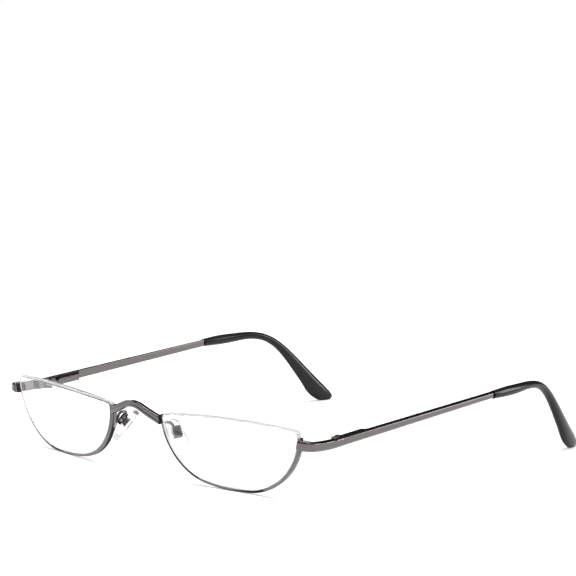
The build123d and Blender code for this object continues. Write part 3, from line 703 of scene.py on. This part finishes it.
@dataclass(frozen=True)
class Studio:
    """The white room, the pale floor, the dark cards, the soft lamps and the camera.

    A card has a place and a size. A lamp has a name, a place, a size and its
    watts. A room level is a height, from 0 at the horizon to 1 overhead, with
    the brightness that reflections see there.
    """

    room_floor: float = 0.9
    room_levels: tuple[Size, ...] = ((0.04, 0.8), (0.1, 0.15), (0.2, 0.02), (0.66, 0.02), (0.85, 0.35))
    room_top: Colour = (0.3, 0.3, 0.31, 1.0)
    backdrop_top: float = 0.02
    floor_size: float = 1.6
    floor_tone: float = 0.86
    floor_lift: float = 0.36
    fade_start: float = 0.2
    fade_end: float = 0.7
    card_tone: float = 0.14
    card_roughness: float = 0.9
    cards: tuple[tuple[Place, Size], ...] = (
        ((-0.016, -0.064, 0.0005), (0.126, 0.007)),
        ((0.003, -0.081, 0.0006), (0.038, 0.028)))
    lamps: tuple[tuple[str, Place, Size, float], ...] = (
        ("top_softbox", (-0.1, 0.45, 1.4), (1.1, 0.5), 16.0),
        ("left_softbox", (-1.1, -0.3, 1.05), (0.8, 0.5), 7.0),
        ("right_strip", (0.54, 0.71, 0.33), (0.3, 0.5), 3.5))
    eye: Vector = Vector((0.6540655, -0.7066559, 0.1826691))
    azimuth: float = 43.0792504
    elevation: float = 7.75227295
    roll: float = 1.83385726
    lens: float = 189.67019
    sensor: float = 36.0
    sight: Size = (0.05, 60.0)

    def build(self) -> None:
        """Set up the whole studio."""
        self._world()
        self._floor()
        self._cards()
        self._lamps()
        self._camera()
        bpy.context.scene.view_settings.view_transform = "Standard"
        LOG.info("studio built")

    @staticmethod
    def _seen_white(tree: bpy.types.NodeTree,
                    glossy: Optional[bpy.types.NodeSocket] = None) -> bpy.types.NodeSocket:
        """Add the test for rays that show the white background in full.

        Args:
            tree: the node tree that gets the test.
            glossy: the share of the glossy rays that see it, or None for all of them.

        Returns:
            A socket that is 1 for a camera or transmission ray, that share for a glossy ray, else 0.
        """
        path = tree.nodes.new("ShaderNodeLightPath").outputs
        mirrored = path["Is Glossy Ray"]
        if glossy is not None:
            mirrored = add_math(tree, "MULTIPLY", mirrored, glossy)
        seen = add_math(tree, "MAXIMUM", path["Is Camera Ray"], mirrored)
        return add_math(tree, "MAXIMUM", seen, path["Is Transmission Ray"])

    def _world(self) -> None:
        """Light the room: a white backdrop low down, a dark band above it, a softer ceiling."""
        world = bpy.data.worlds.new("studio_room")
        bpy.context.scene.world = world
        world.use_nodes = True
        tree = world.node_tree
        nodes, links = tree.nodes, tree.links
        nodes.clear()
        split = nodes.new("ShaderNodeSeparateXYZ")
        links.new(nodes.new("ShaderNodeTexCoord").outputs["Generated"], split.inputs[0])
        height = split.outputs["Z"]
        ramp = nodes.new("ShaderNodeValToRGB")
        lowest, highest = ramp.color_ramp.elements
        lowest.position, lowest.color = 0.0, grey(self.room_floor)
        highest.position, highest.color = 1.0, self.room_top
        for position, level in self.room_levels:
            ramp.color_ramp.elements.new(position).color = grey(level)
        links.new(height, ramp.inputs["Fac"])
        low = add_math(tree, "LESS_THAN", height, self.backdrop_top)
        white = nodes.new("ShaderNodeMix")
        white.data_type = "RGBA"
        white.inputs["B"].default_value = grey(1.0)
        links.new(ramp.outputs["Color"], white.inputs["A"])
        links.new(self._seen_white(tree, low), white.inputs["Factor"])
        glow = nodes.new("ShaderNodeBackground")
        links.new(white.outputs["Result"], glow.inputs["Color"])
        links.new(glow.outputs[0], nodes.new("ShaderNodeOutputWorld").inputs["Surface"])

    def _floor(self) -> None:
        """Lay the pale floor, which keeps the soft shadows and fades to white further out."""
        deselect_all()
        bpy.ops.mesh.primitive_plane_add(size=self.floor_size, location=(0.0, 0.0, 0.0))
        floor = bpy.context.object
        floor.name = "floor"
        material = bpy.data.materials.new("pale_floor")
        material.use_nodes = True
        tree = material.node_tree
        nodes, links = tree.nodes, tree.links
        nodes.clear()
        matt = nodes.new("ShaderNodeBsdfDiffuse")
        matt.inputs["Color"].default_value = grey(self.floor_tone)
        away = nodes.new("ShaderNodeVectorMath")
        away.operation = "LENGTH"
        links.new(nodes.new("ShaderNodeTexCoord").outputs["Object"], away.inputs[0])
        fade = nodes.new("ShaderNodeMapRange")
        fade.inputs["From Min"].default_value = self.fade_start
        fade.inputs["From Max"].default_value = self.fade_end
        fade.inputs["To Min"].default_value = self.floor_lift
        links.new(away.outputs["Value"], fade.inputs["Value"])
        lift = nodes.new("ShaderNodeEmission")
        strength = add_math(tree, "MULTIPLY", self._seen_white(tree), fade.outputs[0])
        links.new(strength, lift.inputs["Strength"])
        both = nodes.new("ShaderNodeAddShader")
        links.new(matt.outputs[0], both.inputs[0])
        links.new(lift.outputs[0], both.inputs[1])
        links.new(both.outputs[0], nodes.new("ShaderNodeOutputMaterial").inputs["Surface"])
        floor.data.materials.append(material)

    def _cards(self) -> None:
        """Lay dark cards in front, which show in the polished metal and nowhere else."""
        material = bpy.data.materials.new("dark_card")
        material.use_nodes = True
        surface = material.node_tree.nodes["Principled BSDF"]
        surface.inputs["Base Color"].default_value = grey(self.card_tone)
        surface.inputs["Roughness"].default_value = self.card_roughness
        for place, size in self.cards:
            deselect_all()
            bpy.ops.mesh.primitive_plane_add(size=1.0, location=place)
            card = bpy.context.object
            card.name = "dark_card"
            bpy.ops.transform.resize(value=(*size, 1.0))
            card.data.materials.append(material)
            for rays in ("camera", "diffuse", "transmission", "shadow"):
                setattr(card, f"visible_{rays}", False)

    def _lamps(self) -> None:
        """Hang the soft lamps, each turned towards the glasses."""
        for name, place, size, watts in self.lamps:
            lamp = bpy.data.lights.new(name, "AREA")
            lamp.shape = "RECTANGLE"
            lamp.size, lamp.size_y = size
            lamp.energy = watts
            stand = add_object(name, lamp)
            stand.location = place
            stand.rotation_euler = (-Vector(place)).to_track_quat("-Z", "Y").to_euler()

    def _camera(self) -> None:
        """Set the camera at the photograph's angle."""
        around, above, tilt = (math.radians(angle) for angle in (self.azimuth, self.elevation, self.roll))
        back = Vector((math.sin(around) * math.cos(above), -math.cos(around) * math.cos(above), math.sin(above)))
        right = Vector((math.cos(around), math.sin(around), 0.0))
        up = back.cross(right)
        across = right * math.cos(tilt) + up * math.sin(tilt)
        along = up * math.cos(tilt) - right * math.sin(tilt)
        camera = bpy.data.cameras.new("photo_view")
        camera.sensor_width = self.sensor
        camera.lens = self.lens
        camera.clip_start, camera.clip_end = self.sight
        stand = add_object("photo_view", camera)
        turn = Matrix((across, along, back)).transposed().to_4x4()
        stand.matrix_world = Matrix.Translation(self.eye) @ turn
        bpy.context.scene.camera = stand


def main() -> None:
    """Build the scene in order: camera and light, the front, the lenses, the temples, the pads."""
    logging.basicConfig(level=logging.INFO, format="%(message)s")
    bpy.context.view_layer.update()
    wardrobe = Wardrobe()
    Studio().build()
    Front(wardrobe).build()
    Lenses(wardrobe).build()
    Temples(wardrobe).build()
    NosePads(wardrobe).build()
    deselect_all()


if __name__ == "__main__":
    main()
